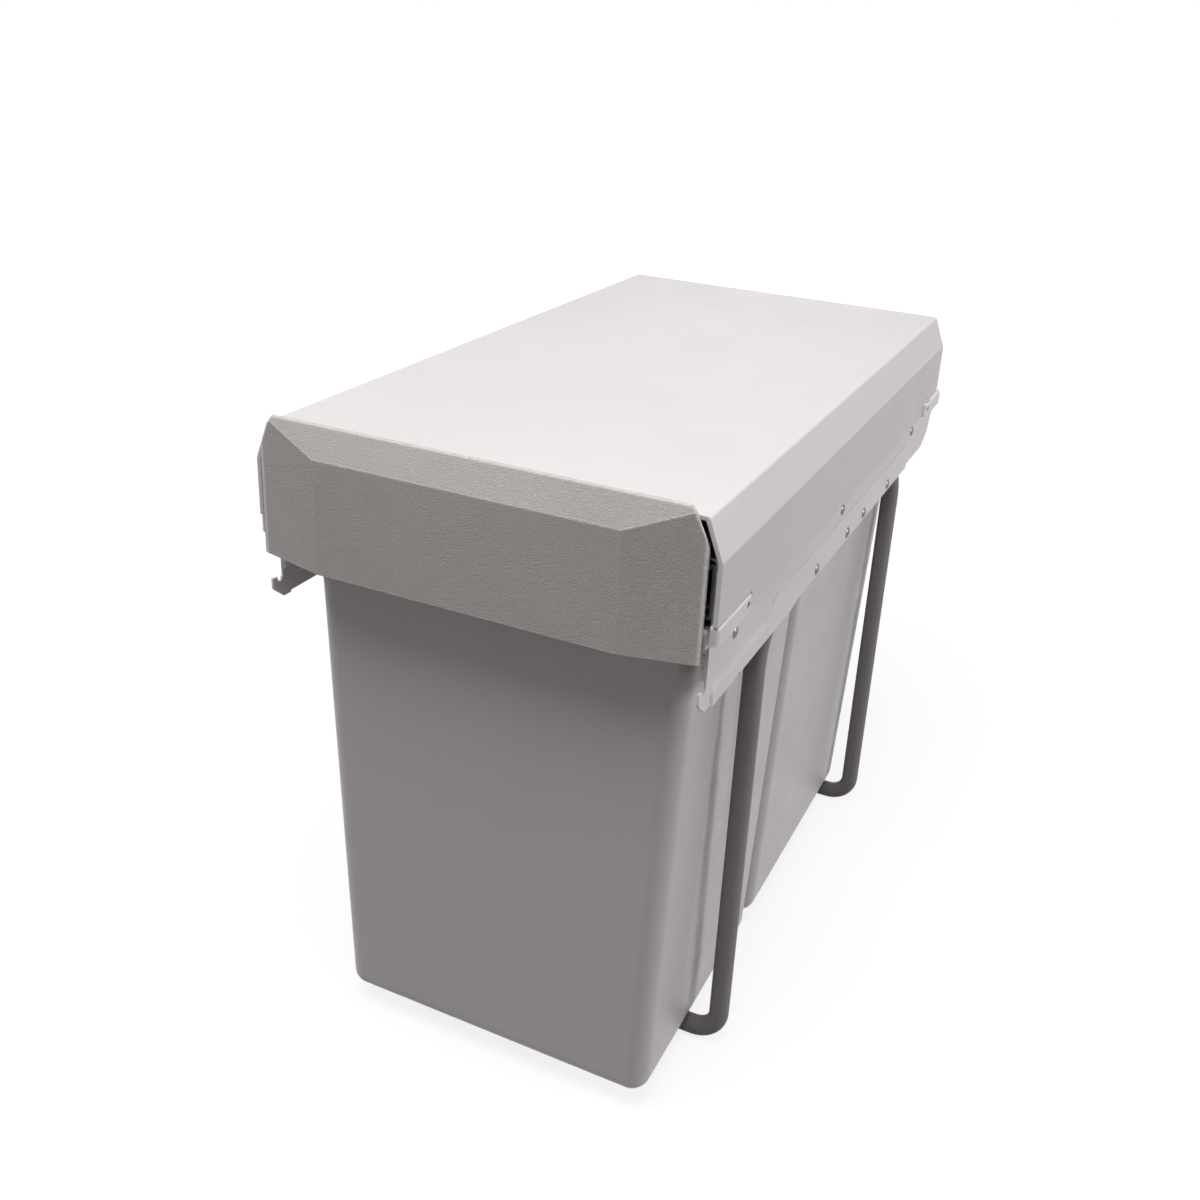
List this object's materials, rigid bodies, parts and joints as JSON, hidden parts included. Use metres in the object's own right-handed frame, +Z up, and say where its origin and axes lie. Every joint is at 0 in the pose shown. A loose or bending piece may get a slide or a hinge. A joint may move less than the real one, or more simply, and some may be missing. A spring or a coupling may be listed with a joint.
{
  "type": "pull out bin frame",
  "caption": "Pull out waste bin unit for a narrow base cabinet: fixed cover on ball bearing slides, a sliding tube and plate frame with a front panel, and lift out bins.",
  "frame": {"origin": "on the floor under the middle of the unit's outer box", "axes": "+Z up, +Y to the back of the cabinet, the frame is pulled out towards -Y"},
  "size_m": [0.262, 0.4866, 0.3895],
  "materials": {
    "cover_plastic": "fine satin texture",
    "panel_plastic": "moulded leather grain",
    "bin_plastic": "smooth satin moulding",
    "grey_paint": "smooth powder coat",
    "tube_paint": "fine grained dark powder coat",
    "zinc_steel": "bright zinc plate",
    "rivet_steel": "bright",
    "ball_steel": "polished",
    "grey_buffer": "smooth",
    "dark_plastic": "smooth"
  },
  "bodies": {
    "housing": {"cover": "cover_plastic", "left_fixed_rail": "zinc_steel", "left_front_bracket": "grey_paint", "left_rear_bracket": "grey_paint", "left_rail_buffer": "dark_plastic", "right_fixed_rail": "zinc_steel", "right_front_bracket": "grey_paint", "right_rear_bracket": "grey_paint", "right_rail_buffer": "dark_plastic"},
    "bin_frame": {"front_panel": "panel_plastic", "panel_screws": "rivet_steel", "front_loop": "tube_paint", "rear_loop": "tube_paint", "loop_plugs": "dark_plastic", "loop_rivets": "rivet_steel", "carrier_rivets": "rivet_steel", "rail_rivets": "rivet_steel", "rear_cross_bar": "grey_paint", "left_inner_rail": "zinc_steel", "left_rail_carrier": "grey_paint", "left_side_plate": "grey_paint", "left_closing_buffer": "grey_buffer", "right_inner_rail": "zinc_steel", "right_rail_carrier": "grey_paint", "right_side_plate": "grey_paint", "right_closing_buffer": "grey_buffer"},
    "front_bin": {"front_bin": "bin_plastic"},
    "rear_bin": {"rear_bin": "bin_plastic"},
    "left_middle_member": {"left_middle_rail": "zinc_steel"},
    "left_outer_ball_cage": {"left_outer_cage": "dark_plastic", "left_outer_balls": "ball_steel"},
    "left_inner_ball_cage": {"left_inner_cage": "dark_plastic", "left_inner_balls": "ball_steel"},
    "right_middle_member": {"right_middle_rail": "zinc_steel"},
    "right_outer_ball_cage": {"right_outer_cage": "dark_plastic", "right_outer_balls": "ball_steel"},
    "right_inner_ball_cage": {"right_inner_cage": "dark_plastic", "right_inner_balls": "ball_steel"}
  },
  "joints": [
    {"name": "frame_pull", "type": "slide", "parent": "housing", "child": "bin_frame", "axis": [0, -1, 0], "range_m": [0, 0.42]},
    {"name": "front_bin_lift", "type": "slide", "parent": "bin_frame", "child": "front_bin", "axis": [0, 0, 1], "range_m": [0, 0.012]},
    {"name": "rear_bin_lift", "type": "slide", "parent": "bin_frame", "child": "rear_bin", "axis": [0, 0, 1], "range_m": [0, 0.012]},
    {"name": "left_middle_member_slide", "type": "slide", "parent": "housing", "child": "left_middle_member", "axis": [0, -1, 0], "range_m": [0, 0.21]},
    {"name": "left_outer_ball_cage_slide", "type": "slide", "parent": "housing", "child": "left_outer_ball_cage", "axis": [0, -1, 0], "range_m": [0, 0.105]},
    {"name": "left_inner_ball_cage_slide", "type": "slide", "parent": "housing", "child": "left_inner_ball_cage", "axis": [0, -1, 0], "range_m": [0, 0.315]},
    {"name": "right_middle_member_slide", "type": "slide", "parent": "housing", "child": "right_middle_member", "axis": [0, -1, 0], "range_m": [0, 0.21]},
    {"name": "right_outer_ball_cage_slide", "type": "slide", "parent": "housing", "child": "right_outer_ball_cage", "axis": [0, -1, 0], "range_m": [0, 0.105]},
    {"name": "right_inner_ball_cage_slide", "type": "slide", "parent": "housing", "child": "right_inner_ball_cage", "axis": [0, -1, 0], "range_m": [0, 0.315]}
  ],
  "couplings": [
    {"joint": "left_middle_member_slide", "follows": "frame_pull", "ratio": 0.5},
    {"joint": "left_outer_ball_cage_slide", "follows": "frame_pull", "ratio": 0.25},
    {"joint": "left_inner_ball_cage_slide", "follows": "frame_pull", "ratio": 0.75},
    {"joint": "right_middle_member_slide", "follows": "frame_pull", "ratio": 0.5},
    {"joint": "right_outer_ball_cage_slide", "follows": "frame_pull", "ratio": 0.25},
    {"joint": "right_inner_ball_cage_slide", "follows": "frame_pull", "ratio": 0.75}
  ]
}
